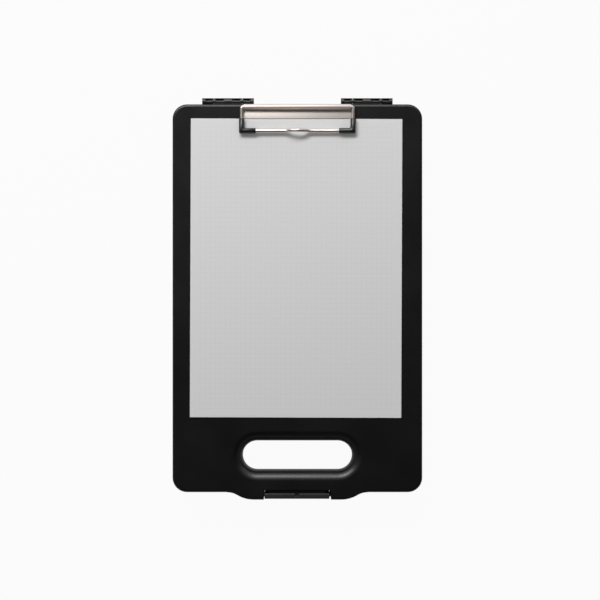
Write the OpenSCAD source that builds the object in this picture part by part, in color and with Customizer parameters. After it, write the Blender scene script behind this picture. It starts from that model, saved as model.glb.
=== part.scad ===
// Storage clipboard box for A4 paper: a shallow tray whose lid is the writing board.
// It lies on its back. +Z is up out of the writing face, +Y runs from the handle to the hinges.
// The origin is on the table under the middle of the whole outline. All sizes are in millimetres.

/* [Case] */
// Width of the case
case_w = 248.5; // [236:0.5:320]
// Length of the case without hinges and handle bulge
case_l = 386; // [372:1:460]
// Height of the lower shell, from the table to the parting line
tray_h = 23; // [20:1:60]
// Height of the lid, from the parting line to the writing face
lid_h = 11; // [10:0.5:16]
// Radius of the four corners seen from above
corner_r = 14.5; // [10:0.5:24]
// Thickness of the side walls
wall = 2.4; // [1.8:0.1:3.2]
// Thickness of the tray's floor
floor_t = 2.4; // [1.6:0.1:3.6]
// Thickness of the writing board
board_t = 2.6; // [1.8:0.1:3.6]
// Rounding of the tray's lower edge
tray_edge_r = 3; // [1.5:0.1:4]
// Rounding of the lid's upper edge
lid_edge_r = 2.5; // [1.5:0.1:4]

/* [Handle end] */
// How far the handle end bulges past the straight edge
bulge = 7.5; // [4:0.5:12]
// Half width of the bulge where it leaves the straight edge
bulge_half_w = 70; // [66:1:90]
// Radius of the hollow curve at each shoulder of the bulge
shoulder_r = 20; // [12:1:30]
// Radius of the round curve at each end of the bulge
bulge_r = 34; // [20:1:50]
// Length of the hand slot
slot_l = 109.5; // [90:0.5:130]
// Width of the hand slot
slot_w = 29.5; // [24:0.5:34]
// Distance from the straight end of the case to the middle of the slot
slot_in = 36.3; // [36:0.1:44]
// Rounding of the slot's rim on the writing face
slot_lip_r = 10.5; // [4:0.5:11]
// Rounding of the slot's rim on the underside
slot_foot_r = 7; // [3:0.5:10]

/* [Inside] */
// Distance from the slot's edge to the wall that closes the compartment
divider_in = 12; // [11:0.5:30]
// Thickness of the compartment wall
divider_t = 2; // [1.2:0.1:3]
// Gap above the compartment wall when the lid is shut
divider_gap = 3.5; // [3:0.5:8]
// How far the lid's inner lip reaches into the tray
lip_h = 2.5; // [1:0.5:3]
// Thickness of the lid's inner lip
lip_t = 1.6; // [1.2:0.1:2.4]
// Gap between the inner lip and the tray's wall
lip_gap = 0.3; // [0.2:0.05:0.6]
// Height of the stiffening ribs under the board
rib_h = 3; // [1:0.5:3]
// Thickness of the stiffening ribs
rib_t = 1.6; // [1.2:0.1:2.4]
// Number of ribs along the board
ribs_along = 3; // [0:1:6]
// Number of ribs across the board
ribs_across = 5; // [0:1:9]

/* [Hinges] */
// Distance of each hinge's middle from the side of the case
hinge_in = 55; // [42:1:62]
// Length of one hinge
hinge_l = 51.5; // [44:0.5:60]
// Length of the middle knuckle, which belongs to the lid
lid_knuckle_l = 28; // [27:0.5:32]
// Distance of the hinge axis outside the case's end wall
hinge_out = 3.3; // [2:0.1:3.5]
// Radius of the knuckles
knuckle_r = 3.5; // [3.2:0.1:4]
// Gap between knuckles, and between a knuckle and the shell that turns past it
knuckle_gap = 0.3; // [0.2:0.05:0.5]
// Diameter of the hinge pins
hinge_pin_d = 3; // [2.4:0.1:3.4]
// How far each pin ends inside the outer knuckles
pin_end_in = 0.6; // [0:0.1:1.5]
// Length of the two windows in the middle knuckle
lid_window_l = 8.3; // [5:0.1:9]
// Distance from the hinge's middle to the near end of those windows
lid_window_in = 4; // [2:0.1:4.5]
// Length of the window in each outer knuckle
tray_window_l = 7.1; // [4:0.1:7.5]
// Distance from the hinge's middle to the near end of the outer windows
tray_window_in = 15.4; // [15:0.1:16.5]

/* [Latch] */
// Width of the recess that holds the latch
recess_w = 67; // [50:0.5:80]
// Depth of the recess from the bulge's outer face
recess_d = 9.5; // [9.5:0.1:14]
// Gap between the latch and each side of the recess
latch_side_gap = 1.2; // [0.8:0.1:2]
// How far the latch lies to the left of the middle of its recess
latch_shift = 0.4; // [0:0.1:0.5]
// How far the latch lies inside the bulge's outer face
latch_in = 0.8; // [0.4:0.1:1.2]
// How far the latch ends below the writing face
latch_drop = 1; // [0.5:0.1:2]
// Thickness of the latch's plate
latch_t = 2.4; // [1.8:0.1:3]
// Depth of the finger lip along the latch's top
latch_lip_d = 5.7; // [5:0.1:6]
// Thickness of the finger lip
latch_lip_t = 2.4; // [1.6:0.1:3]
// Radius of the barrel along the latch's foot
latch_barrel_r = 3.75; // [3:0.05:4]
// Diameter of the latch pin
latch_pin_d = 3; // [2:0.1:3.4]
// Height of the latch pin above the table
latch_pin_z = 5; // [4.6:0.1:9]
// Width of the notch in the middle of the finger lip
latch_notch_w = 4.2; // [2:0.1:8]
// Depth of that notch
latch_notch_d = 3; // [1:0.1:3.2]
// Length of the springy hook across the latch
hook_l = 56; // [30:1:60]
// How far the hook reaches over the lid's catch ledge
hook_grip = 1.8; // [0.8:0.1:2]
// Distance from the writing face down to the top of the catch ledge
ledge_in = 5.5; // [5:0.1:6.5]
// Thickness of the catch ledge
ledge_t = 2.5; // [1.5:0.1:3]
// How far the catch ledge stands out into the recess
ledge_d = 2.4; // [2:0.1:2.6]
// Gap between the hook and the ledge
hook_gap = 0.3; // [0.1:0.05:0.5]

/* [Paper clip] */
// Width of the clip's plate
plate_w = 107; // [90:0.5:120]
// Depth of the plate from the barrel's outer edge to its front edge
plate_d = 14.2; // [12:0.1:18]
// Thickness of the plate
plate_t = 0.95; // [0.8:0.05:1.2]
// Depth of the raised lip along the plate's front edge
plate_lip_d = 4.6; // [3:0.1:5]
// Slope of that lip, in degrees
plate_lip_slope = 4; // [2:1:12]
// Distance from the case's end wall to the barrel's outer edge
plate_in = 0.1; // [0.1:0.05:6]
// Diameter of the bail's wire
wire_d = 3.5; // [2.8:0.1:3.8]
// Radial clearance of the wire in the barrel and in its sleeves
wire_gap = 0.05; // [0.02:0.01:0.1]
// Height of the seam where the rolled barrel closes on the plate
seam_h = 0.4; // [0.2:0.05:0.6]
// Length of the wire's ends inside the barrel
bail_end_l = 30; // [15:1:40]
// Distance from the barrel to the bail's bar
bail_leg_l = 24; // [19:0.5:34]
// Gap between each leg and the end of the plate
bail_side_gap = 0.45; // [0.3:0.05:0.8]
// Bend radius of the wire beside the barrel
bail_heel_r = 2; // [1.9:0.1:2.2]
// Bend radius of the wire at its corners
bail_corner_r = 3; // [2.9:0.1:4]
// Height of the finger arch in the middle of the bar
arch_h = 4.4; // [1:0.1:6]
// Half width of the finger arch
arch_half_w = 14; // [11:0.5:18]
// Outer diameter of the corner sleeves
sleeve_d = 5.6; // [4.8:0.1:5.7]
// Length of a sleeve along the bar, from the corner
sleeve_l = 14; // [8:0.5:16]
// Gap between the plate's front edge and the ends of the sleeves on the legs
sleeve_end_gap = 0.3; // [0.2:0.05:1]
// Width of the tabs that hold the plate
tab_w = 10; // [6:0.5:16]
// Distance of the front tabs from the middle
front_tab_x = 36; // [24:1:44]
// Distance of the rear tabs from the middle
rear_tab_x = 16; // [10:1:22]
// Length of the clinched end of a tab under the board
tab_l = 5; // [3:0.5:6]
// Gap between a tab and its slot
tab_gap = 0.15; // [0.1:0.05:0.4]

/* [Paper] */
// Width of the sheets
sheet_w = 210; // [148:1:216]
// Length of the sheets
sheet_l = 297; // [210:1:300]
// Thickness of the sheets lying together
sheet_t = 0.9; // [0.1:0.1:2]
// Gap between the sheet and the clip's plate
sheet_gap = 0.5; // [0.4:0.1:2]
// How far the sheets lie to the left of the middle
sheet_shift = 1.3; // [0:0.1:3]
// Turn of the sheets, clockwise, in degrees
sheet_turn = 0.2; // [0:0.05:0.3]
// Gap between the sheet and the sleeves that press on it
sheet_press_gap = 0.1; // [0.05:0.05:0.4]

/* [Hidden] */
$fn = 64;

// Small overlap that joins solids of one piece, and overshoot of a cutter past a face
join = 0.2;
past = 1;
// Radial clearance of every pin in its bore
pin_gap = 0.05;

// Outline of the case
hinge_reach = hinge_out + knuckle_r;
total_l = case_l + bulge + hinge_reach;
y_bulge = -total_l / 2;
y_end = y_bulge + bulge;
y_top = y_end + case_l;
x_side = case_w / 2;
z_face = tray_h + lid_h;
bulge_turn = acos(1 - bulge / (shoulder_r + bulge_r));
bulge_flat_x = bulge_half_w - (shoulder_r + bulge_r) * sin(bulge_turn);
// The hollow curve bites this much deeper, so that it crosses its neighbours
shoulder_lap = 0.02;

// Hand slot
slot_y = y_end + slot_in;
slot_r = slot_w / 2;
slot_half = slot_l / 2 - slot_r;
slot_lip = min(slot_lip_r, lid_h - join);

// Height of the part of the inner lip that joins the lid's wall
lip_foot_h = 3;

// Hinge axis, and the distance of each hinge from the middle of the case
hinge_x = x_side - hinge_in;
hinge_y = y_top + hinge_out;
hinge_z = tray_h;
// Rim left outside a window, how far it opens inside the axis, and its depth below the axis
window_lip = 0.6;
window_front = 1.6;
window_depth = 1.7;

// Latch
recess_y = y_bulge + recess_d;
latch_w = recess_w - 2 * latch_side_gap;
latch_front = y_bulge + latch_in;
latch_back = latch_front + latch_t;
latch_lip_back = latch_front + latch_lip_d;
latch_top = z_face - latch_drop;
latch_y = latch_front + latch_barrel_r;
latch_edge_r = 1.8;
latch_bevel = 1.1;
// Ribs at both ends of the latch: thickness, and how far they stay behind the finger lip
latch_web_t = 1.6;
latch_web_in = 0.8;
// Sideways play of the latch between the bosses round its pin, and their radius
latch_play = 0.25;
pin_boss_r = latch_barrel_r - latch_play;
// Depth of the blind holes for the latch pin in the sides of the recess
pin_seat = wall - 0.4;
// Bevels that let the hook ride over the ledge
ledge_lead = 1;
hook_lead = 0.8;
ledge_top = z_face - ledge_in;
ledge_front = recess_y - ledge_d;
ledge_over = 2;
ledge_l = hook_l + 2 * ledge_over;
hook_z = ledge_top + hook_gap;
hook_tip = ledge_front + hook_grip;

// Paper clip
barrel_r = wire_d / 2 + wire_gap + plate_t;
barrel_y = y_top - plate_in - barrel_r;
barrel_z = z_face + barrel_r;
plate_front = y_top - plate_in - plate_d;
plate_lip_y = plate_front + plate_lip_d;
plate_lip_rise = plate_lip_d * tan(plate_lip_slope);
leg_x = plate_w / 2 + bail_side_gap + wire_d / 2;
sleeve_leg_l = bail_leg_l - (barrel_y - plate_front) - sleeve_end_gap;
sheet_top = z_face + sheet_t;
sheet_end_y = plate_front - sheet_gap;
// The sleeves clear the end of the sheet, where they lie lowest, by the stated gap
sleeve_z = sheet_top + sheet_press_gap + sleeve_d / 2;
bail_tilt = asin((sleeve_z - barrel_z) / (barrel_y - sheet_end_y));
arch_turn = 2 * atan(arch_h / arch_half_w);
arch_r = arch_half_w / sin(arch_turn);
arch_foot_share = 0.43;
arch_foot_r = arch_r * arch_foot_share;
arch_top_r = arch_r - arch_foot_r;
arch_lap = 0.4;
arch_neck = 0.06;
rear_tab_y = barrel_y - plate_t;
// The seam ends this far before the middle of the barrel
seam_back = 1;
tab_reach = board_t + plate_t;

// Paper
sheet_y = sheet_end_y - sheet_l / 2;

black_case = [0.13, 0.13, 0.135];
grey_black = [0.2, 0.2, 0.205];
nickel = [0.78, 0.76, 0.74];
steel = [0.62, 0.63, 0.65];
paper_white = [0.9, 0.9, 0.9];

// ---- Outline of the case, drawn smaller by "inset" ----

module corner_disc(inset, x, y) {
    translate([x, y]) circle(r = corner_r - inset);
}

module plain_outline(inset) {
    x = x_side - corner_r;
    y_low = y_end + corner_r;
    y_high = y_top - corner_r;
    translate([-x_side + inset, y_low]) square([case_w - 2 * inset, y_high - y_low]);
    translate([-x, y_end + inset]) square([2 * x, case_l - 2 * inset]);
    for (sx = [-1, 1]) {
        corner_disc(inset, sx * x, y_low);
        corner_disc(inset, sx * x, y_high);
    }
}

// One side of the bulge: flat part, round curve, then the hollow curve at the shoulder
module half_bulge(inset) {
    round_r = bulge_r - inset;
    hollow_r = shoulder_r + shoulder_lap + inset;
    turn_x = bulge_flat_x + round_r * sin(bulge_turn);
    y_low = y_bulge + inset;
    y_turn = y_bulge + bulge_r - round_r * cos(bulge_turn);
    y_in = y_end + inset + join;
    translate([-join, y_low]) square([bulge_flat_x + join, y_in - y_low]);
    intersection() {
        translate([bulge_flat_x, y_bulge + bulge_r]) circle(r = round_r);
        translate([bulge_flat_x - join, y_low])
            square([turn_x + past - bulge_flat_x + join, y_in - y_low]);
    }
    difference() {
        translate([turn_x - join, y_turn]) square([bulge_half_w - turn_x + join, y_in - y_turn]);
        translate([bulge_half_w, y_end - shoulder_r]) circle(r = hollow_r);
    }
}

module case_outline(inset = 0) {
    plain_outline(inset);
    half_bulge(inset);
    mirror([1, 0]) half_bulge(inset);
}

// ---- Flat profiles carried along a way ----

// Along a straight edge, with the profile's x to the right of the way from "from" to "to"
module straight_run(from, to) {
    way = to - from;
    translate([from.x, from.y, 0])
        rotate([0, 0, atan2(way.y, way.x)])
            rotate([90, 0, 90])
                linear_extrude(norm(way)) children();
}

module round_run(centre, radius, start, sweep) {
    translate([centre.x, centre.y, 0])
        rotate([0, 0, start])
            rotate_extrude(angle = sweep)
                translate([radius, 0]) children();
}

// Round the hand slot
module along_slot() {
    y_far = slot_y + slot_r;
    y_near = slot_y - slot_r;
    straight_run([-slot_half, y_far], [slot_half, y_far]) children();
    straight_run([slot_half, y_near], [-slot_half, y_near]) children();
    round_run([slot_half, slot_y], slot_r, -90, 180) children();
    round_run([-slot_half, slot_y], slot_r, 90, 180) children();
}

// A profile drawn in the Y and Z of the part, extruded along X about its middle
module across(length, x = 0) {
    translate([x, 0, 0])
        rotate([90, 0, 90])
            linear_extrude(length, center = true) children();
}

// Section of a block from "low" to "high" whose two lower edges are rounded
module block_section(low, high, height, r) {
    translate([low, r]) square([high - low, height - r]);
    translate([low + r, 0]) square([high - low - 2 * r, height]);
    for (x = [low + r, high - r]) translate([x, r]) circle(r = r);
}

// Half section of a round corner whose lower edge is rounded
module corner_section(height, r) {
    translate([0, r]) square([corner_r, height - r]);
    square([corner_r - r, height]);
    intersection() {
        translate([corner_r - r, r]) circle(r = r);
        translate([corner_r - r, 0]) square([r, r]);
    }
}

// The case without its bulge, its lower edge rounded all the way round
module plain_block(height, r) {
    x = x_side - corner_r;
    y_low = y_end + corner_r;
    y_high = y_top - corner_r;
    across(2 * x) block_section(y_end, y_top, height, r);
    translate([0, y_high, 0])
        rotate([90, 0, 0])
            linear_extrude(y_high - y_low) block_section(-x_side, x_side, height, r);
    round_run([x, y_high], 0, 0, 90) corner_section(height, r);
    round_run([-x, y_high], 0, 90, 90) corner_section(height, r);
    round_run([-x, y_low], 0, 180, 90) corner_section(height, r);
    round_run([x, y_low], 0, 270, 90) corner_section(height, r);
}

// The bulge, its outer lower edge rounded
module bulge_block(height, r) {
    reach = bulge + corner_r;
    intersection() {
        linear_extrude(height) {
            half_bulge(0);
            mirror([1, 0]) half_bulge(0);
            translate([-bulge_half_w, y_end]) square([2 * bulge_half_w, corner_r]);
        }
        across(2 * bulge_half_w + 2 * past)
            block_section(y_bulge, y_bulge + 2 * reach, height, r);
    }
}

// Wall of the slot that flares into a flat face at height 0
module slot_profile(height, r) {
    translate([0, r]) square([wall, height - r]);
    intersection() {
        translate([r, r]) difference() {
            circle(r = r);
            circle(r = r - wall);
        }
        square([r, r]);
    }
    translate([r - join, 0]) square([2 * join, wall]);
}

module slot_shape(grow) {
    r = slot_r + grow;
    translate([-slot_half, slot_y - r]) square([2 * slot_half, 2 * r]);
    for (sx = [-1, 1])
        translate([sx * slot_half, slot_y]) circle(r = r);
}

// A shell with its rounded edge and its flared slot wall below, open above
module shell(height, edge_r, skin, flare_r) {
    difference() {
        union() {
            plain_block(height, edge_r);
            bulge_block(height, edge_r);
        }
        translate([0, 0, skin]) linear_extrude(height) case_outline(wall);
        translate([0, 0, -past]) linear_extrude(skin + 2 * past) slot_shape(flare_r);
    }
    along_slot() slot_profile(height, flare_r);
}

// ---- Latch recess, shared by both shells ----

module recess_walls(from_z, to_z) {
    y_low = y_bulge + wall - join;
    translate([-recess_w / 2 - wall, y_low, from_z])
        cube([recess_w + 2 * wall, recess_y + wall - y_low, to_z - from_z]);
}

// The boss on the right is the thicker one, so that the latch lies a little to the left
module pin_bosses() {
    for (sx = [-1, 1]) {
        boss_t = latch_side_gap + sx * latch_shift - latch_play;
        across(boss_t + join, sx * (recess_w + join - boss_t) / 2) translate([latch_y, latch_pin_z])
            circle(r = pin_boss_r);
    }
}

module recess_cut() {
    translate([-recess_w / 2, y_bulge - past, -past])
        cube([recess_w, recess_d + past, z_face + 2 * past]);
}

// ---- Hinges, shared by both shells ----

module at_hinges() {
    for (sx = [-1, 1]) translate([sx * hinge_x, 0, 0]) children();
}

module on_hinge_axis() {
    translate([hinge_y, hinge_z]) children();
}

// Knuckle with its web to the wall above (side = 1) or below (side = -1) the parting line
module knuckle(length, x, side) {
    across(length, x) {
        on_hinge_axis() circle(r = knuckle_r);
        translate([y_top - join, side > 0 ? hinge_z : hinge_z - knuckle_r])
            square([hinge_out + join, knuckle_r]);
    }
}

module knuckle_window(length, x) {
    y_low = hinge_y - window_front;
    y_high = hinge_y + knuckle_r - window_lip;
    translate([x - length / 2, y_low, hinge_z - window_depth])
        cube([length, y_high - y_low, knuckle_r + window_depth + past]);
}

// Hollow in a wall that lets the other shell's knuckle turn in it
module knuckle_relief(length, x) {
    across(length, x) on_hinge_axis() circle(r = knuckle_r + knuckle_gap);
}

module hinge_bore() {
    across(hinge_l + 2 * past) on_hinge_axis() circle(d = hinge_pin_d + 2 * pin_gap);
}

// ---- Lower shell ----

module base_tray() {
    outer_l = (hinge_l - lid_knuckle_l) / 2 - knuckle_gap;
    outer_x = (hinge_l - outer_l) / 2;
    window_x = tray_window_in + tray_window_l / 2;
    divider_y = slot_y + slot_r + divider_in;
    color(black_case) difference() {
        union() {
            difference() {
                union() {
                    shell(tray_h, tray_edge_r, floor_t, slot_foot_r);
                    recess_walls(floor_t - join, tray_h);
                }
                recess_cut();
            }
            pin_bosses();
            translate([-x_side + wall - join, divider_y, floor_t - join])
                cube([case_w - 2 * (wall - join), divider_t,
                    tray_h - divider_gap - floor_t + join]);
            at_hinges() for (sx = [-1, 1]) knuckle(outer_l, sx * outer_x, -1);
        }
        across(recess_w + 2 * pin_seat) translate([latch_y, latch_pin_z])
            circle(d = latch_pin_d + 2 * pin_gap);
        at_hinges() {
            hinge_bore();
            knuckle_relief(lid_knuckle_l + 2 * knuckle_gap, 0);
            for (sx = [-1, 1]) knuckle_window(tray_window_l, sx * window_x);
        }
    }
}

// ---- Upper shell ----

module inner_lip() {
    divider_y = slot_y + slot_r + divider_in;
    intersection() {
        union() {
            translate([0, 0, tray_h]) linear_extrude(lip_foot_h) difference() {
                case_outline(wall - join);
                case_outline(wall + lip_gap + lip_t);
            }
            translate([0, 0, tray_h - lip_h]) linear_extrude(lip_h + join) difference() {
                case_outline(wall + lip_gap);
                case_outline(wall + lip_gap + lip_t);
            }
        }
        translate([-x_side, divider_y, 0]) cube([case_w, y_top - divider_y, z_face]);
    }
}

module board_ribs() {
    x_low = -x_side + wall - join;
    y_low = slot_y + slot_r + slot_lip + rib_t;
    y_high = plate_front - rib_t;
    z = z_face - board_t - rib_h;
    for (i = [1:1:ribs_along])
        translate([x_low + (2 * -x_low) * i / (ribs_along + 1) - rib_t / 2, y_low, z])
            cube([rib_t, y_high - y_low, rib_h + join]);
    for (i = [0:1:ribs_across - 1])
        translate([x_low, y_low + (y_high - y_low - rib_t) * i / max(1, ribs_across - 1), z])
            cube([-2 * x_low, rib_t, rib_h + join]);
}

module catch_ledge() {
    z_low = ledge_top - ledge_t;
    across(ledge_l) polygon([
        [recess_y + join, z_low],
        [ledge_front + ledge_lead, z_low],
        [ledge_front, z_low + ledge_lead],
        [ledge_front, ledge_top],
        [recess_y + join, ledge_top]
    ]);
}

module lid_board() {
    outer_l = (hinge_l - lid_knuckle_l) / 2 + 2 * knuckle_gap;
    outer_x = lid_knuckle_l / 2 + outer_l / 2;
    window_x = lid_window_in + lid_window_l / 2;
    color(black_case) {
        difference() {
            union() {
                translate([0, 0, z_face]) mirror([0, 0, 1])
                    shell(lid_h, lid_edge_r, board_t, slot_lip);
                recess_walls(tray_h, z_face - board_t + join);
                inner_lip();
                board_ribs();
                at_hinges() knuckle(lid_knuckle_l, 0, 1);
            }
            recess_cut();
            at_hinges() {
                hinge_bore();
                for (sx = [-1, 1]) {
                    knuckle_relief(outer_l, sx * outer_x);
                    knuckle_window(lid_window_l, sx * window_x);
                }
            }
            tab_slots();
        }
        catch_ledge();
    }
}

module hinge_pin(x) {
    across(hinge_l - 2 * pin_end_in, x) on_hinge_axis() circle(d = hinge_pin_d);
}

module hinge_pin_left() {
    color(grey_black) hinge_pin(-hinge_x);
}

module hinge_pin_right() {
    color(grey_black) hinge_pin(hinge_x);
}

// ---- Latch ----

module latch_profile() {
    z_lip = latch_top - latch_lip_t;
    edge_r = min(latch_edge_r, latch_lip_t - join);
    translate([latch_front, latch_pin_z]) square([latch_t, z_lip - latch_pin_z + join]);
    translate([latch_y, latch_pin_z]) circle(r = latch_barrel_r);
    polygon([
        [latch_front, z_lip],
        [latch_lip_back, z_lip],
        [latch_lip_back, latch_top - latch_bevel],
        [latch_lip_back - latch_bevel, latch_top],
        [latch_front + edge_r, latch_top],
        [latch_front + edge_r, latch_top - edge_r],
        [latch_front, latch_top - edge_r]
    ]);
    intersection() {
        translate([latch_front + edge_r, latch_top - edge_r]) circle(r = edge_r);
        translate([latch_front, latch_top - edge_r]) square([edge_r, edge_r]);
    }
}

module latch() {
    z_lip = latch_top - latch_lip_t;
    web_d = latch_lip_d - latch_t - latch_web_in;
    color(grey_black) difference() {
        union() {
            across(latch_w, -latch_shift) latch_profile();
            for (sx = [-1, 1])
                translate([sx * (latch_w - latch_web_t) / 2 - latch_web_t / 2 - latch_shift,
                        latch_back - join, latch_pin_z])
                    cube([latch_web_t, web_d + join, z_lip - latch_pin_z + join]);
        }
        across(latch_w + 2 * past) translate([latch_y, latch_pin_z])
            circle(d = latch_pin_d + 2 * pin_gap);
        translate([-latch_notch_w / 2 - latch_shift, latch_lip_back - latch_notch_d, z_lip - past])
            cube([latch_notch_w, latch_notch_d + past, latch_lip_t + 2 * past]);
    }
}

module latch_hook() {
    z_high = latch_top - latch_lip_t;
    color(grey_black) across(hook_l, -latch_shift) polygon([
        [latch_back, hook_z],
        [hook_tip, hook_z],
        [hook_tip, z_high - hook_lead],
        [hook_tip - hook_lead, z_high],
        [latch_back, z_high]
    ]);
}

module latch_pin() {
    color(steel) across(recess_w + 2 * pin_seat - pin_gap) translate([latch_y, latch_pin_z])
        circle(d = latch_pin_d);
}

// ---- Paper clip ----

// Tabs at their places, each drawn by the children with its clinched end towards +Y
module at_tabs() {
    for (sx = [-1, 1]) {
        translate([sx * front_tab_x, plate_lip_y, 0]) children();
        translate([sx * rear_tab_x, rear_tab_y + plate_t, 0]) mirror([0, 1, 0]) children();
    }
}

module tab() {
    translate([-tab_w / 2, 0, z_face - tab_reach]) {
        cube([tab_w, plate_t, tab_reach + plate_t]);
        cube([tab_w, tab_l, plate_t]);
    }
}

module tab_slots() {
    at_tabs() translate([-tab_w / 2 - tab_gap, -tab_gap, z_face - board_t - past])
        cube([tab_w + 2 * tab_gap, plate_t + 2 * tab_gap, board_t + 2 * past]);
}

module clip_plate() {
    color(nickel) {
        across(plate_w) difference() {
            union() {
                translate([barrel_y, barrel_z]) circle(r = barrel_r);
                translate([plate_lip_y, z_face]) square([barrel_y - plate_lip_y, plate_t]);
                polygon([
                    [plate_lip_y + join, z_face],
                    [plate_lip_y + join, z_face + plate_t],
                    [plate_lip_y, z_face + plate_t],
                    [plate_front, z_face + plate_t + plate_lip_rise],
                    [plate_front, z_face + plate_lip_rise],
                    [plate_lip_y, z_face]
                ]);
            }
            translate([barrel_y, barrel_z]) circle(d = wire_d + 2 * wire_gap);
            translate([barrel_y - barrel_r - past, z_face + plate_t])
                square([barrel_r + past - seam_back, seam_h]);
        }
        at_tabs() tab();
    }
}

// The bail at rest: its bar rises a little because the sleeves lie on the sheet
module bail_place() {
    translate([0, barrel_y, barrel_z]) rotate([-bail_tilt, 0, 0]) children();
}

module rod_x(from, to, y, d) {
    translate([from, y, 0]) rotate([0, 90, 0]) cylinder(d = d, h = to - from);
}

module rod_y(from, to, x, d) {
    translate([x, to, 0]) rotate([90, 0, 0]) cylinder(d = d, h = to - from);
}

module ring_arc(radius, start, sweep, d) {
    rotate([0, 0, start]) rotate_extrude(angle = sweep) translate([radius, 0]) circle(d = d);
}

module bail_corner(d) {
    translate([leg_x - bail_corner_r, bail_corner_r - bail_leg_l, 0])
        ring_arc(bail_corner_r, -90, 90, d);
}

// Arch for a fingertip in the middle of the bar. The wire necks down a little in the foot
// bends, which run on inside the thicker wire at both ends.
module finger_arch() {
    lap_turn = arch_lap / arch_foot_r * 180 / PI;
    for (side = [0, 1]) mirror([side, 0, 0])
        translate([arch_half_w, -bail_leg_l, arch_foot_r]) rotate([90, 0, 0])
            ring_arc(arch_foot_r, -90 - arch_turn - lap_turn, arch_turn + 2 * lap_turn,
                wire_d - arch_neck);
    translate([0, -bail_leg_l, arch_h - arch_top_r]) rotate([90, 0, 0])
        ring_arc(arch_top_r, 90 - arch_turn, 2 * arch_turn, wire_d);
}

module half_bail() {
    rod_x(plate_w / 2 - bail_end_l, leg_x - bail_heel_r, 0, wire_d);
    translate([leg_x - bail_heel_r, -bail_heel_r, 0]) ring_arc(bail_heel_r, 0, 90, wire_d);
    rod_y(bail_corner_r - bail_leg_l, -bail_heel_r, leg_x, wire_d);
    bail_corner(wire_d);
    rod_x(arch_half_w, leg_x - bail_corner_r, -bail_leg_l, wire_d);
}

module clip_bail() {
    color(nickel) bail_place() {
        half_bail();
        mirror([1, 0, 0]) half_bail();
        finger_arch();
    }
}

module sleeve_form(d, over) {
    rod_y(bail_corner_r - bail_leg_l, sleeve_leg_l - bail_leg_l + over, leg_x, d);
    bail_corner(d);
    rod_x(leg_x - sleeve_l - over, leg_x - bail_corner_r, -bail_leg_l, d);
}

module corner_sleeve() {
    difference() {
        sleeve_form(sleeve_d, 0);
        sleeve_form(wire_d + 2 * wire_gap, past);
    }
}

module corner_sleeve_right() {
    color(black_case) bail_place() corner_sleeve();
}

module corner_sleeve_left() {
    color(black_case) bail_place() mirror([1, 0, 0]) corner_sleeve();
}

// ---- Paper ----

module note_sheet() {
    color(paper_white) translate([-sheet_shift, sheet_y, z_face + sheet_t / 2])
        rotate([0, 0, -sheet_turn]) cube([sheet_w, sheet_l, sheet_t], center = true);
}

base_tray();
lid_board();
hinge_pin_left();
hinge_pin_right();
latch();
latch_hook();
latch_pin();
clip_plate();
clip_bail();
corner_sleeve_left();
corner_sleeve_right();
note_sheet();
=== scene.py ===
import random
from math import asin, atan, cos, pi, radians, sin, tan

import bmesh
import bpy
from mathutils import Matrix, Vector


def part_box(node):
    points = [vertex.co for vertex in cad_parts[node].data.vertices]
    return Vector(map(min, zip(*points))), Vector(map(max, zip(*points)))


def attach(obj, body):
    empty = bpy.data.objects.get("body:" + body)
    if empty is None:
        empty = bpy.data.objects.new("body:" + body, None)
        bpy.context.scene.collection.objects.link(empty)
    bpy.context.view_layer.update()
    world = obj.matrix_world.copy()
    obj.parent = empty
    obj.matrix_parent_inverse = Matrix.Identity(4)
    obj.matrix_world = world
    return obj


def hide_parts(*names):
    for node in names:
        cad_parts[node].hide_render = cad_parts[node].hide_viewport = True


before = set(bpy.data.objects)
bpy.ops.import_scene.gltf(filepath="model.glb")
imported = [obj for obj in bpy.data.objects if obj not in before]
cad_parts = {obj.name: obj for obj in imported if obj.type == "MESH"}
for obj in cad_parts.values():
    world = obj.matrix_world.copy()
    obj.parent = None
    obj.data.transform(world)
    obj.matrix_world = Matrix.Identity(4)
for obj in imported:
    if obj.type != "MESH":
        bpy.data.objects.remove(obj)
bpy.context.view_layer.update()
scene = bpy.context.scene
scene.view_settings.view_transform = "Standard"


# ---- Studio ----
# A still camera looks straight down on the box, which lies on its back on a white table. One
# big soft box stands behind the hinge end, to the left of the middle.

eye_height = 2.534
eye_x = 0.0026
eye_y = -0.0014
photo_px = 600
px_per_metre_at_a_metre = 2514
sensor_mm = 36
nearest_seen = 0.05
farthest_seen = 20

camera = bpy.data.objects.new("camera", bpy.data.cameras.new("camera"))
scene.collection.objects.link(camera)
camera.location = (eye_x, eye_y, eye_height)
camera.data.sensor_width = sensor_mm
camera.data.lens = sensor_mm * px_per_metre_at_a_metre / photo_px
camera.data.clip_start = nearest_seen
camera.data.clip_end = farthest_seen
scene.camera = camera

soft_box_rise = radians(43.5)
soft_box_bearing = radians(20)
soft_box_away = 1.7
soft_box_w = 1.2
soft_box_h = 0.42
soft_box_watts = 20
soft_box = bpy.data.objects.new("soft_box", bpy.data.lights.new("soft_box", "AREA"))
scene.collection.objects.link(soft_box)
soft_box.data.shape = "RECTANGLE"
soft_box.data.size = soft_box_w
soft_box.data.size_y = soft_box_h
soft_box.data.energy = soft_box_watts
soft_box.location = (
    -soft_box_away * cos(soft_box_rise) * sin(soft_box_bearing),
    soft_box_away * cos(soft_box_rise) * cos(soft_box_bearing),
    soft_box_away * sin(soft_box_rise),
)
soft_box.rotation_euler = (soft_box_rise - pi / 2, 0, soft_box_bearing)


def srgb(hex_colour):
    """A hex colour as the linear red, green, blue and alpha that a shader takes."""
    shares = [int(hex_colour[i : i + 2], 16) / 255 for i in (1, 3, 5)]
    return [s / 12.92 if s <= 0.04045 else ((s + 0.055) / 1.055) ** 2.4 for s in shares] + [1]


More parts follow.
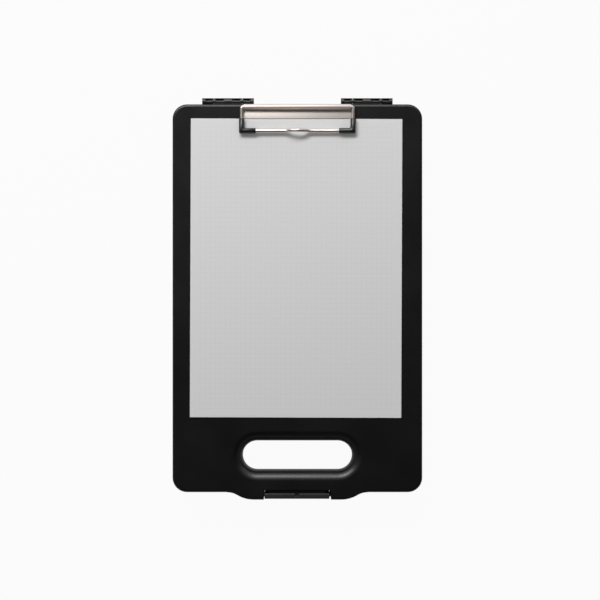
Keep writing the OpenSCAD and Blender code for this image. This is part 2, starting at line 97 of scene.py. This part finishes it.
def bare_material(name):
    """A new material with an empty node tree, and that tree."""
    material = bpy.data.materials.new(name)
    material.use_nodes = True
    material.node_tree.nodes.clear()
    return material, material.node_tree


def add(tree, kind, settings=(), links=()):
    """One node of this kind, with its settings, and with its inputs linked or set."""
    node = tree.nodes.new(kind)
    for name, value in dict(settings).items():
        setattr(node, name, value)
    for socket, value in dict(links).items():
        if isinstance(value, bpy.types.NodeSocket):
            tree.links.new(value, node.inputs[socket])
        else:
            node.inputs[socket].default_value = value
    return node


# The room: what the camera sees is white. The wall behind the hinge end is bright, the other
# walls are grey low down, and the ceiling is dim, which keeps the black board black.
wall_bright = 0.85
wall_starts = 0.3
wall_is_full = 0.75
side_wall = 0.28
side_wall_is_full = sin(radians(8))
side_wall_ends = sin(radians(36))
room_dim = 0.02
fill_strength = 0.24
room = bpy.data.worlds.new("room")
room.use_nodes = True
scene.world = room
room_tree = room.node_tree
room_tree.nodes.clear()
ray = add(room_tree, "ShaderNodeLightPath")
direction = add(room_tree, "ShaderNodeTexCoord")
bearing = add(room_tree, "ShaderNodeSeparateXYZ", links={0: direction.outputs["Generated"]})
back_wall = add(
    room_tree,
    "ShaderNodeMapRange",
    {"interpolation_type": "SMOOTHSTEP"},
    {
        "Value": bearing.outputs["Y"],
        "From Min": wall_starts,
        "From Max": wall_is_full,
        "To Min": room_dim,
        "To Max": wall_bright,
    },
)
low_walls = add(
    room_tree,
    "ShaderNodeMapRange",
    {"interpolation_type": "SMOOTHSTEP"},
    {
        "Value": bearing.outputs["Z"],
        "From Min": side_wall_is_full,
        "From Max": side_wall_ends,
        "To Min": side_wall,
        "To Max": room_dim,
    },
)
around = add(
    room_tree,
    "ShaderNodeMath",
    {"operation": "MAXIMUM"},
    {0: back_wall.outputs["Result"], 1: low_walls.outputs["Result"]},
)
unseen = add(
    room_tree,
    "ShaderNodeMix",
    {"data_type": "FLOAT"},
    {0: ray.outputs["Is Diffuse Ray"], 2: around.outputs[0], 3: fill_strength},
)
seen = add(
    room_tree,
    "ShaderNodeMix",
    {"data_type": "FLOAT"},
    {0: ray.outputs["Is Camera Ray"], 2: unseen.outputs[0], 3: 1.0},
)
room_light = add(
    room_tree,
    "ShaderNodeBackground",
    links={"Color": srgb("#FFFFFF"), "Strength": seen.outputs[0]},
)
add(room_tree, "ShaderNodeOutputWorld", links={"Surface": room_light.outputs[0]})

# The table: white laminate, shown almost as bright as the paper white around the photo. It has
# no underside, so that the bottom of the case can be looked at from below.
table_half = 3.0
table_squares = 8
table_drop = 0.0003
table_glow = 0.95
mirrored_glow = 0.3
bm = bmesh.new()
bmesh.ops.create_grid(
    bm, x_segments=table_squares, y_segments=table_squares, size=table_half
)
table_mesh = bpy.data.meshes.new("table")
bm.to_mesh(table_mesh)
bm.free()
table = bpy.data.objects.new("table", table_mesh)
table.location.z = -table_drop
scene.collection.objects.link(table)
white_laminate, tree = bare_material("white_laminate_table")
ray = add(tree, "ShaderNodeLightPath")
to_the_eye = add(
    tree,
    "ShaderNodeMath",
    {"operation": "MULTIPLY"},
    {0: ray.outputs["Is Camera Ray"], 1: table_glow},
)
by_way_of_a_piece = add(
    tree,
    "ShaderNodeMath",
    {"operation": "MAXIMUM"},
    {0: ray.outputs["Is Glossy Ray"], 1: ray.outputs["Is Transmission Ray"]},
)
mirrored = add(
    tree,
    "ShaderNodeMath",
    {"operation": "MULTIPLY"},
    {0: by_way_of_a_piece.outputs[0], 1: mirrored_glow},
)
glow = add(
    tree,
    "ShaderNodeMath",
    {"operation": "MAXIMUM"},
    {0: to_the_eye.outputs[0], 1: mirrored.outputs[0]},
)
laminate = add(tree, "ShaderNodeBsdfDiffuse", links={"Color": srgb("#B4B4B4")})
lit = add(tree, "ShaderNodeEmission", links={"Color": srgb("#FFFFFF"), "Strength": 1.0})
both = add(
    tree,
    "ShaderNodeMixShader",
    links={0: glow.outputs[0], 1: laminate.outputs[0], 2: lit.outputs[0]},
)
side_hit = add(tree, "ShaderNodeNewGeometry")
from_below = add(tree, "ShaderNodeBsdfTransparent")
one_sided = add(
    tree,
    "ShaderNodeMixShader",
    links={0: side_hit.outputs["Backfacing"], 1: both.outputs[0], 2: from_below.outputs[0]},
)
add(tree, "ShaderNodeOutputMaterial", links={"Surface": one_sided.outputs[0]})
table_mesh.materials.append(white_laminate)


# ---- Case ----
# Two injection-moulded shells of black polypropylene, a tray and the lid that is the
# writing board. Their moulds were spark-eroded, which leaves a fine, even, satin grain.

edge_round = 0.0004
crease_angle = radians(32)
weld = 2e-6
cloud_size = 0.045
dust_size = 0.0016
speck_starts = 0.62
speck_is_full = 0.8
noise_low = 0.3
noise_high = 0.7
plastic_ior = 1.58
bevel_rays = 6


def soft_shaded(node, name):
    """A copy of a CAD node with its loose triangles joined, so that its fillets shade smoothly."""
    joined = bmesh.new()
    joined.from_mesh(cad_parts[node].data)
    bmesh.ops.remove_doubles(joined, verts=joined.verts, dist=weld)
    for face in joined.faces:
        face.smooth = True
    for edge in joined.edges:
        edge.smooth = edge.calc_face_angle(0) < crease_angle
    mesh = bpy.data.meshes.new(name)
    joined.to_mesh(mesh)
    joined.free()
    if "custom_normal" in mesh.attributes:
        mesh.attributes.remove(mesh.attributes["custom_normal"])
    piece = bpy.data.objects.new(name, mesh)
    scene.collection.objects.link(piece)
    weighted = piece.modifiers.new("flat_faces_stay_flat", "WEIGHTED_NORMAL")
    weighted.mode = "FACE_AREA_WITH_ANGLE"
    weighted.keep_sharp = True
    return piece


def grained_plastic(name, colour, worn, grain_size, depth, smoothest, roughest, rounding):
    """Moulded plastic: an even grain, faint cloudy changes of gloss, and softened edges.

    A real grain is about 0.1 mm wide, which is too fine to show, so each one is drawn a few
    times as coarse.
    """
    material, tree = bare_material(name)
    place = add(tree, "ShaderNodeTexCoord").outputs["Object"]
    clouds = add(
        tree,
        "ShaderNodeTexNoise",
        links={"Vector": place, "Scale": 1 / cloud_size, "Detail": 3.0, "Roughness": 0.6},
    )
    pits = add(
        tree,
        "ShaderNodeTexNoise",
        links={"Vector": place, "Scale": 1 / grain_size, "Detail": 2.0, "Roughness": 0.55},
    )
    dust = add(
        tree,
        "ShaderNodeTexNoise",
        links={"Vector": place, "Scale": 1 / dust_size, "Detail": 4.0, "Roughness": 0.75},
    )
    speck = add(
        tree,
        "ShaderNodeMapRange",
        links={
            "Value": dust.outputs["Fac"],
            "From Min": speck_starts,
            "From Max": speck_is_full,
        },
    )
    shade = add(
        tree,
        "ShaderNodeMix",
        {"data_type": "RGBA"},
        {0: speck.outputs["Result"], 6: srgb(colour), 7: srgb(worn)},
    )
    gloss = add(
        tree,
        "ShaderNodeMapRange",
        links={
            "Value": clouds.outputs["Fac"],
            "From Min": noise_low,
            "From Max": noise_high,
            "To Min": smoothest,
            "To Max": roughest,
        },
    )
    rounded = add(tree, "ShaderNodeBevel", {"samples": bevel_rays}, {"Radius": rounding})
    bumped = add(
        tree,
        "ShaderNodeBump",
        links={
            "Strength": 1.0,
            "Distance": depth,
            "Height": pits.outputs["Fac"],
            "Normal": rounded.outputs["Normal"],
        },
    )
    surface = add(
        tree,
        "ShaderNodeBsdfPrincipled",
        links={
            "Base Color": shade.outputs[2],
            "Roughness": gloss.outputs["Result"],
            "IOR": plastic_ior,
            "Normal": bumped.outputs["Normal"],
        },
    )
    add(tree, "ShaderNodeOutputMaterial", links={"Surface": surface.outputs[0]})
    return material


polypropylene = grained_plastic(
    "moulded_black_polypropylene",
    colour="#070707",
    worn="#121213",
    grain_size=0.0007,
    depth=0.00003,
    smoothest=0.35,
    roughest=0.41,
    rounding=edge_round,
)

tray = soft_shaded("base_tray", "tray_shell")
tray.data.materials.clear()
tray.data.materials.append(polypropylene)
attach(tray, "base")
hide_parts("base_tray")

board = soft_shaded("lid_board", "lid_shell")
board.data.materials.clear()
board.data.materials.append(polypropylene)
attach(board, "lid")
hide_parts("lid_board")


# ---- Hinge pins ----
# Plain rods of black acetal pushed through the three knuckles of each hinge. They are
# turned from extruded bar, so they are smoother than the shells and shine in the windows.

acetal = grained_plastic(
    "extruded_black_acetal",
    colour="#1E1E1F",
    worn="#28282A",
    grain_size=0.0004,
    depth=0.000004,
    smoothest=0.26,
    roughest=0.34,
    rounding=0.0002,
)
for side in ("left", "right"):
    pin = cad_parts["hinge_pin_" + side]
    pin.data.materials.clear()
    pin.data.materials.append(acetal)


# ---- Latch ----
# A flap of glass-filled polyamide, moulded a shade greyer than the case, with a springy
# hook behind its finger lip. It snaps over the lid's ledge and turns on a steel pin.

polyamide = grained_plastic(
    "moulded_dark_grey_polyamide",
    colour="#2B2B2C",
    worn="#38383A",
    grain_size=0.0006,
    depth=0.00002,
    smoothest=0.36,
    roughest=0.46,
    rounding=edge_round,
)
flap = soft_shaded("latch", "latch_flap")
flap.data.materials.clear()
flap.data.materials.append(polyamide)
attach(flap, "latch")
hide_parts("latch")

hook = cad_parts["latch_hook"]
hook.data.materials.clear()
hook.data.materials.append(polyamide)

# The pin is cut from drawn wire, which keeps fine lines along its length. They are drawn
# further apart than they are, because the real ones would be too fine to show
drawn_line_l = 0.025
drawn_lines_per_mm = 6
pin_smoothest = 0.22
pin_roughest = 0.42
drawn_steel, tree = bare_material("drawn_steel_wire")
place = add(tree, "ShaderNodeTexCoord").outputs["Object"]
across = 1000 * drawn_lines_per_mm
stretch = add(
    tree,
    "ShaderNodeMapping",
    links={"Vector": place, "Scale": (1 / drawn_line_l, across, across)},
)
lines = add(
    tree, "ShaderNodeTexNoise", links={"Vector": stretch.outputs[0], "Scale": 1.0, "Detail": 2.0}
)
dull = add(
    tree,
    "ShaderNodeMapRange",
    links={
        "Value": lines.outputs["Fac"],
        "To Min": pin_smoothest,
        "To Max": pin_roughest,
    },
)
steel = add(
    tree,
    "ShaderNodeBsdfPrincipled",
    links={
        "Base Color": srgb("#B9BABC"),
        "Metallic": 1.0,
        "Roughness": dull.outputs["Result"],
    },
)
add(tree, "ShaderNodeOutputMaterial", links={"Surface": steel.outputs[0]})
latch_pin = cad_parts["latch_pin"]
latch_pin.data.materials.clear()
latch_pin.data.materials.append(drawn_steel)


# ---- Clip plate ----
# A strip of spring steel, pressed and nickel-plated. Its back edge is rolled into a barrel
# for the wire, and four tabs go through slots in the board and are clinched under it.

steel_t = 0.0006
low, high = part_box("clip_plate")
plate_half = high.x
plate_front = low.y
barrel_r = 0.00275
barrel_y = high.y - barrel_r
barrel_z = high.z - barrel_r
face_z = barrel_z - barrel_r
roll_turn = radians(258)
roll_steps = 44
lip_d = 0.0046
lip_slope = radians(12)
lip_rise = lip_d * tan(lip_slope)
sheared_round = 0.00018
sheared_angle = radians(50)
tab_round = 0.0002
tab_w = 0.010
tab_l = 0.005
tab_drop = face_z - low.z
front_tab_x = 0.036
rear_tab_x = 0.016


def finished(bm, name, material):
    """The mesh made so far as an object of that name and material, its skin turned outward."""
    bmesh.ops.recalc_face_normals(bm, faces=bm.faces)
    for face in bm.faces:
        face.smooth = True
    mesh = bpy.data.meshes.new(name)
    bm.to_mesh(mesh)
    bm.free()
    piece = bpy.data.objects.new(name, mesh)
    scene.collection.objects.link(piece)
    mesh.materials.append(material)
    return piece


# Satin nickel with a warm tint and fine rolling lines along the strip; it scatters some light.
# The lines are drawn 0.2 mm apart, because the real ones would be too fine to show
rolling_line_l = 0.01667
rolling_lines_per_mm = 5
rolling_depth = 0.000004
rolling_shows = 0.35
haze_size = 0.009
satin_share = 0.28
strip_smoothest = 0.46
strip_roughest = 0.54
strip_round = 0.00015
nickel_plate, tree = bare_material("nickel_plated_strip_steel")
place = add(tree, "ShaderNodeTexCoord").outputs["Object"]
across = 1000 * rolling_lines_per_mm
stretch = add(
    tree,
    "ShaderNodeMapping",
    links={"Vector": place, "Scale": (1 / rolling_line_l, across, across)},
)
rolling = add(
    tree, "ShaderNodeTexNoise", links={"Vector": stretch.outputs[0], "Scale": 1.0, "Detail": 3.0}
)
haze = add(
    tree,
    "ShaderNodeTexNoise",
    links={"Vector": place, "Scale": 1 / haze_size, "Detail": 4.0, "Roughness": 0.65},
)
tint = add(
    tree,
    "ShaderNodeMix",
    {"data_type": "RGBA"},
    {0: haze.outputs["Fac"], 6: srgb("#EDE4DE"), 7: srgb("#E3D8D0")},
)
dull = add(
    tree,
    "ShaderNodeMapRange",
    {"name": "dull"},
    {
        "Value": haze.outputs["Fac"],
        "From Min": noise_low,
        "From Max": noise_high,
        "To Min": strip_smoothest,
        "To Max": strip_roughest,
    },
)
rounded = add(tree, "ShaderNodeBevel", {"samples": bevel_rays}, {"Radius": strip_round})
ripple = add(
    tree,
    "ShaderNodeBump",
    links={
        "Strength": rolling_shows,
        "Distance": rolling_depth,
        "Height": rolling.outputs["Fac"],
        "Normal": rounded.outputs["Normal"],
    },
)
metal = add(
    tree,
    "ShaderNodeBsdfPrincipled",
    {"name": "metal"},
    {
        "Base Color": tint.outputs[2],
        "Metallic": 1 - satin_share,
        "Roughness": dull.outputs["Result"],
        "Normal": ripple.outputs["Normal"],
    },
)
add(tree, "ShaderNodeOutputMaterial", links={"Surface": metal.outputs[0]})

# The strip's middle line: up-turned front lip, flat part, and the roll round the barrel
bm = bmesh.new()
middle_z = face_z + steel_t / 2
front = bm.verts.new((-plate_half, plate_front, middle_z + lip_rise))
kink = bm.verts.new((-plate_half, plate_front + lip_d, middle_z))
under = bm.verts.new((-plate_half, barrel_y, middle_z))
bm.edges.new((front, kink))
bm.edges.new((kink, under))
bmesh.ops.spin(
    bm,
    geom=[under],
    cent=(-plate_half, barrel_y, barrel_z),
    axis=(1, 0, 0),
    angle=roll_turn,
    steps=roll_steps,
)
drawn_out = bmesh.ops.extrude_edge_only(bm, edges=bm.edges[:])
far_end = [v for v in drawn_out["geom"] if isinstance(v, bmesh.types.BMVert)]
bmesh.ops.translate(bm, verts=far_end, vec=(2 * plate_half, 0, 0))
strip = finished(bm, "clip_strip", nickel_plate)
gauge = strip.modifiers.new("steel_thickness", "SOLIDIFY")
gauge.thickness = steel_t
gauge.offset = 0
softened = strip.modifiers.new("sheared_edges", "BEVEL")
softened.width = sheared_round
softened.segments = 2
softened.limit_method = "ANGLE"
softened.angle_limit = sheared_angle
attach(strip, "lid")
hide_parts("clip_plate")

# Each tab is a small L: a neck through the board and a foot clinched under it
bm = bmesh.new()
for x in (-front_tab_x, front_tab_x, -rear_tab_x, rear_tab_x):
    rear = abs(x) == rear_tab_x
    back = barrel_y if rear else plate_front + lip_d
    way = -1 if rear else 1
    neck_at = (x, back + way * steel_t / 2, face_z - tab_drop / 2)
    neck_size = Matrix.Diagonal((tab_w, steel_t, tab_drop, 1))
    foot_at = (x, back + way * tab_l / 2, face_z - tab_drop + steel_t / 2)
    foot_size = Matrix.Diagonal((tab_w, tab_l, steel_t, 1))
    bmesh.ops.create_cube(bm, size=1, matrix=Matrix.Translation(neck_at) @ neck_size)
    bmesh.ops.create_cube(bm, size=1, matrix=Matrix.Translation(foot_at) @ foot_size)
bmesh.ops.bevel(
    bm,
    geom=bm.edges[:],
    offset=tab_round,
    offset_type="OFFSET",
    segments=2,
    profile=0.5,
    affect="EDGES",
    material=-1,
)
tabs = finished(bm, "clip_tabs", nickel_plate)
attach(tabs, "lid")


# ---- Wire bail ----
# One length of nickel-plated spring wire, bent cold. Its ends turn in the rolled barrel,
# and its bar holds the paper down, with a low arch in the middle to lift it by.

wire_r = 0.00175
ring_steps = 20
leg_gap = 0.0001
leg_x = plate_half + leg_gap + wire_r
leg_l = 0.024
heel_r = 0.002
corner_r = 0.003
end_in = 0.030
heel_steps = 10
corner_steps = 12
arch_h = 0.0044
arch_half = 0.014
arch_turn = 2 * atan(arch_h / arch_half)
arch_r = arch_half / sin(arch_turn)
arch_foot_share = 0.43
arch_foot_r = arch_foot_share * arch_r
arch_top_r = arch_r - arch_foot_r
arch_foot_steps = 8
arch_top_steps = 10
wire_weld = 1e-6
halves_weld = 1e-5
sleeve_r = 0.0027
press_gap = 0.0001
sheet_gap = 0.0005
stack_t = 0.0009
sheet_end_y = plate_front - sheet_gap
sheet_face_z = face_z + stack_t
tilt = asin((sheet_face_z + press_gap + sleeve_r - barrel_z) / (barrel_y - sheet_end_y))


def run_on(bm, ring, way):
    """The open end of a tube, drawn on straight by that much."""
    edges = [e for e in ring if isinstance(e, bmesh.types.BMEdge)]
    made = bmesh.ops.extrude_edge_only(bm, edges=edges)["geom"]
    ends = [v for v in made if isinstance(v, bmesh.types.BMVert)]
    bmesh.ops.translate(bm, verts=ends, vec=way)
    return [g for g in made if not isinstance(g, bmesh.types.BMFace)]


def bend(bm, ring, centre, axis, angle, steps):
    """The open end of a tube, bent round an axis."""
    edges = [e for e in ring if isinstance(e, bmesh.types.BMEdge)]
    turned = bmesh.ops.spin(
        bm, geom=edges, cent=centre, axis=axis, angle=angle, steps=steps, use_merge=False
    )
    return [g for g in turned["geom_last"] if not isinstance(g, bmesh.types.BMFace)]


def open_ring(bm, radius, place, along_x):
    """A circle of edges about the wire's middle line."""
    turn = Matrix.Rotation(pi / 2, 4, "Y" if along_x else "X")
    made = bmesh.ops.create_circle(
        bm, segments=ring_steps, radius=radius, matrix=Matrix.Translation(place) @ turn
    )
    # A dict keeps its edges in order from run to run, as a set wouldn't
    edges = dict.fromkeys(e for v in made["verts"] for e in v.link_edges)
    return made["verts"] + list(edges)


def hang_from_barrel(bm):
    """Turns a flat drawing of the bail to its rest on the sheet, pivoted in the barrel."""
    bmesh.ops.rotate(bm, verts=bm.verts, cent=(0, 0, 0), matrix=Matrix.Rotation(-tilt, 3, "X"))
    bmesh.ops.translate(bm, verts=bm.verts, vec=(0, barrel_y, barrel_z))


# Half of the wire, from its end in the barrel to the middle of the arch, then its mirror
bm = bmesh.new()
ring = open_ring(bm, wire_r, (plate_half - end_in, 0, 0), True)
first_end = [e for e in ring if isinstance(e, bmesh.types.BMEdge)]
ring = run_on(bm, ring, (leg_x - heel_r - plate_half + end_in, 0, 0))
ring = bend(bm, ring, (leg_x - heel_r, -heel_r, 0), (0, 0, 1), -pi / 2, heel_steps)
ring = run_on(bm, ring, (0, -(leg_l - corner_r - heel_r), 0))
corner_at = (leg_x - corner_r, corner_r - leg_l, 0)
ring = bend(bm, ring, corner_at, (0, 0, 1), -pi / 2, corner_steps)
ring = run_on(bm, ring, (-(leg_x - corner_r - arch_half), 0, 0))
arch_foot_at = (arch_half, -leg_l, arch_foot_r)
arch_top_at = (0, -leg_l, arch_h - arch_top_r)
ring = bend(bm, ring, arch_foot_at, (0, 1, 0), arch_turn, arch_foot_steps)
ring = bend(bm, ring, arch_top_at, (0, 1, 0), -arch_turn, arch_top_steps)
bmesh.ops.contextual_create(bm, geom=first_end)
half = bm.verts[:] + bm.edges[:] + bm.faces[:]
bmesh.ops.mirror(bm, geom=half, axis="X", merge_dist=halves_weld)
bmesh.ops.remove_doubles(bm, verts=bm.verts, dist=wire_weld)
hang_from_barrel(bm)

# The wire is drawn and barrel-plated: the same nickel, but brighter and all metal
wire_smoothest = 0.28
wire_roughest = 0.34
plated_wire = nickel_plate.copy()
plated_wire.name = "nickel_plated_spring_wire"
wire_dull = plated_wire.node_tree.nodes["dull"]
wire_dull.inputs["To Min"].default_value = wire_smoothest
wire_dull.inputs["To Max"].default_value = wire_roughest
plated_wire.node_tree.nodes["metal"].inputs["Metallic"].default_value = 1.0
bail = finished(bm, "wire_bail", plated_wire)
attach(bail, "bail")
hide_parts("clip_bail")


# ---- Corner sleeves ----
# Short lengths of black vinyl tube pushed over the wire's corners, so that the clip grips
# without marking the sheet. Cut square, slightly glossy, and stretched round the bend.

sleeve_l = 0.014
sleeve_end_gap = 0.0003
sleeve_leg_l = leg_l - (barrel_y - plate_front) - sleeve_end_gap
bore_gap = 0.00005
bore_r = wire_r + bore_gap
bore_seen = 0.0015
cut_round = 0.00035
elbow_round = 0.0016
elbow_steps = 5
vinyl = grained_plastic(
    "extruded_black_vinyl",
    colour="#1B1B1B",
    worn="#262626",
    grain_size=0.0009,
    depth=0.00001,
    smoothest=0.30,
    roughest=0.40,
    rounding=0.0002,
)


def cut_end(bm, ring, out, middle):
    """The cut of a sleeve: over the edge, in to the bore, and a little way down it."""
    steps = ((-cut_round, cut_round), (bore_r - sleeve_r + cut_round, 0.0), (0.0, -bore_seen))
    reach = sleeve_r
    for inward, forward in steps:
        ring = run_on(bm, ring, Vector(out) * forward)
        verts = [v for v in ring if isinstance(v, bmesh.types.BMVert)]
        middle = middle + Vector(out) * forward
        share = (reach + inward) / reach
        reach = reach + inward
        smaller = Matrix.Diagonal((share, share, share, 1))
        about = Matrix.Translation(middle) @ smaller @ Matrix.Translation(-middle)
        bmesh.ops.transform(bm, verts=verts, matrix=about)


for side, name in ((1, "sleeve_right"), (-1, "sleeve_left")):
    bm = bmesh.new()
    start = Vector((leg_x, sleeve_leg_l - leg_l - cut_round, 0))
    ring = open_ring(bm, sleeve_r, start, False)
    top_cut = list(ring)
    ring = run_on(bm, ring, (0, -(sleeve_leg_l - cut_round), 0))
    for vert in ring:
        if isinstance(vert, bmesh.types.BMVert):
            vert.co.y -= vert.co.x - leg_x
    mitre = [e for e in ring if isinstance(e, bmesh.types.BMEdge)]
    ring = run_on(bm, ring, (-(sleeve_l - cut_round), 0, 0))
    for vert in ring:
        if isinstance(vert, bmesh.types.BMVert):
            vert.co.x = leg_x - sleeve_l + cut_round
    bmesh.ops.bevel(
        bm,
        geom=mitre,
        offset=elbow_round,
        offset_type="OFFSET",
        segments=elbow_steps,
        profile=0.5,
        affect="EDGES",
        material=-1,
    )
    cut_end(bm, ring, (-1, 0, 0), Vector((leg_x - sleeve_l + cut_round, -leg_l, 0)))
    cut_end(bm, top_cut, (0, 1, 0), start)
    if side < 0:
        bmesh.ops.scale(bm, verts=bm.verts, vec=(-1, 1, 1))
    hang_from_barrel(bm)
    sleeve = finished(bm, name, vinyl)
    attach(sleeve, "bail")
    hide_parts("corner_" + name)


# ---- Note sheet ----
# A few A4 sheets of white uncoated writing paper, printed with faint 5 mm squares inside a
# plain margin. They lie under the clip, not quite square to one another.

sheet_w = 0.210
sheet_l = 0.297
sheet_up = 0.00025
sheet_low, sheet_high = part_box("note_sheet")
sheet_x = (sheet_low.x + sheet_high.x) / 2
sheet_y = (sheet_low.y + sheet_high.y) / 2 + sheet_up
sheet_turn = radians(-0.2)
sheets = 8
paper_t = 0.0001
stray = 0.00012
square = 0.005
line_w = 0.0003
margin = 0.008
corner_lift = 0.0004
lift_power = 6
top_grid = (42, 60)
lower_grid = (6, 8)
fibre_size = 0.0011
felt_depth = 0.00002
felt_shows = 0.3
paper_roughness = 0.85
paper_ior = 1.45
seed = 5

paper, tree = bare_material("uncoated_writing_paper")
place = add(tree, "ShaderNodeTexCoord").outputs["Object"]
straight = add(
    tree,
    "ShaderNodeMapping",
    {"vector_type": "TEXTURE"},
    {"Vector": place, "Location": (sheet_x, sheet_y, 0), "Rotation": (0, 0, sheet_turn)},
)
axes = add(tree, "ShaderNodeSeparateXYZ", links={0: straight.outputs[0]})
inks = []
insides = []
for axis, size in (("X", sheet_w), ("Y", sheet_l)):
    away = add(
        tree,
        "ShaderNodeMath",
        {"operation": "PINGPONG"},
        {0: axes.outputs[axis], 1: square / 2},
    )
    inks.append(
        add(
            tree,
            "ShaderNodeMath",
            {"operation": "LESS_THAN"},
            {0: away.outputs[0], 1: line_w / 2},
        )
    )
    out = add(tree, "ShaderNodeMath", {"operation": "ABSOLUTE"}, {0: axes.outputs[axis]})
    insides.append(
        add(
            tree,
            "ShaderNodeMath",
            {"operation": "LESS_THAN"},
            {0: out.outputs[0], 1: size / 2 - margin},
        )
    )
ruled = add(
    tree, "ShaderNodeMath", {"operation": "MAXIMUM"}, {0: inks[0].outputs[0], 1: inks[1].outputs[0]}
)
printed = add(
    tree,
    "ShaderNodeMath",
    {"operation": "MULTIPLY"},
    {0: insides[0].outputs[0], 1: insides[1].outputs[0]},
)
ink = add(
    tree, "ShaderNodeMath", {"operation": "MULTIPLY"}, {0: ruled.outputs[0], 1: printed.outputs[0]}
)
fibre = add(
    tree,
    "ShaderNodeTexNoise",
    links={"Vector": place, "Scale": 1 / fibre_size, "Detail": 6.0, "Roughness": 0.7},
)
pulp = add(
    tree,
    "ShaderNodeMix",
    {"data_type": "RGBA"},
    {0: fibre.outputs["Fac"], 6: srgb("#EDEDED"), 7: srgb("#E4E4E4")},
)
page = add(
    tree,
    "ShaderNodeMix",
    {"data_type": "RGBA"},
    {0: ink.outputs[0], 6: pulp.outputs[2], 7: srgb("#E0E1E2")},
)
felt = add(
    tree,
    "ShaderNodeBump",
    links={"Strength": felt_shows, "Distance": felt_depth, "Height": fibre.outputs["Fac"]},
)
leaf = add(
    tree,
    "ShaderNodeBsdfPrincipled",
    links={
        "Base Color": page.outputs[2],
        "Roughness": paper_roughness,
        "IOR": paper_ior,
        "Normal": felt.outputs["Normal"],
    },
)
add(tree, "ShaderNodeOutputMaterial", links={"Surface": leaf.outputs[0]})

# The leaves from the lowest up, each a little askew; the top one's lower corners lift a little
chance = random.Random(seed)
pitch = (sheet_high.z - sheet_low.z) / sheets
bm = bmesh.new()
for number in range(1, sheets + 1):
    on_top = number == sheets
    columns, rows = top_grid if on_top else lower_grid
    made = bmesh.ops.create_grid(bm, x_segments=columns, y_segments=rows, size=0.5)["verts"]
    bmesh.ops.scale(bm, verts=made, vec=(sheet_w, sheet_l, 1))
    if on_top:
        for vert in made:
            across = abs(vert.co.x) / (sheet_w / 2)
            down = max(0, -vert.co.y / (sheet_l / 2))
            vert.co.z = corner_lift * across**lift_power * down**lift_power
    turn = sheet_turn if on_top else sheet_turn + chance.uniform(-stray, stray) / sheet_w
    bmesh.ops.rotate(bm, verts=made, cent=(0, 0, 0), matrix=Matrix.Rotation(turn, 3, "Z"))
    slip = (0, 0) if on_top else (chance.uniform(-stray, stray), chance.uniform(-stray, 0))
    lies = (sheet_x + slip[0], sheet_y + slip[1], sheet_low.z + number * pitch)
    bmesh.ops.translate(bm, verts=made, vec=lies)
leaf_piece = finished(bm, "squared_sheets", paper)
caliper = leaf_piece.modifiers.new("paper_thickness", "SOLIDIFY")
caliper.thickness = paper_t
caliper.offset = -1
flat = leaf_piece.modifiers.new("flat_to_the_rim", "WEIGHTED_NORMAL")
flat.weight = 100
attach(leaf_piece, "lid")
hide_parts("note_sheet")
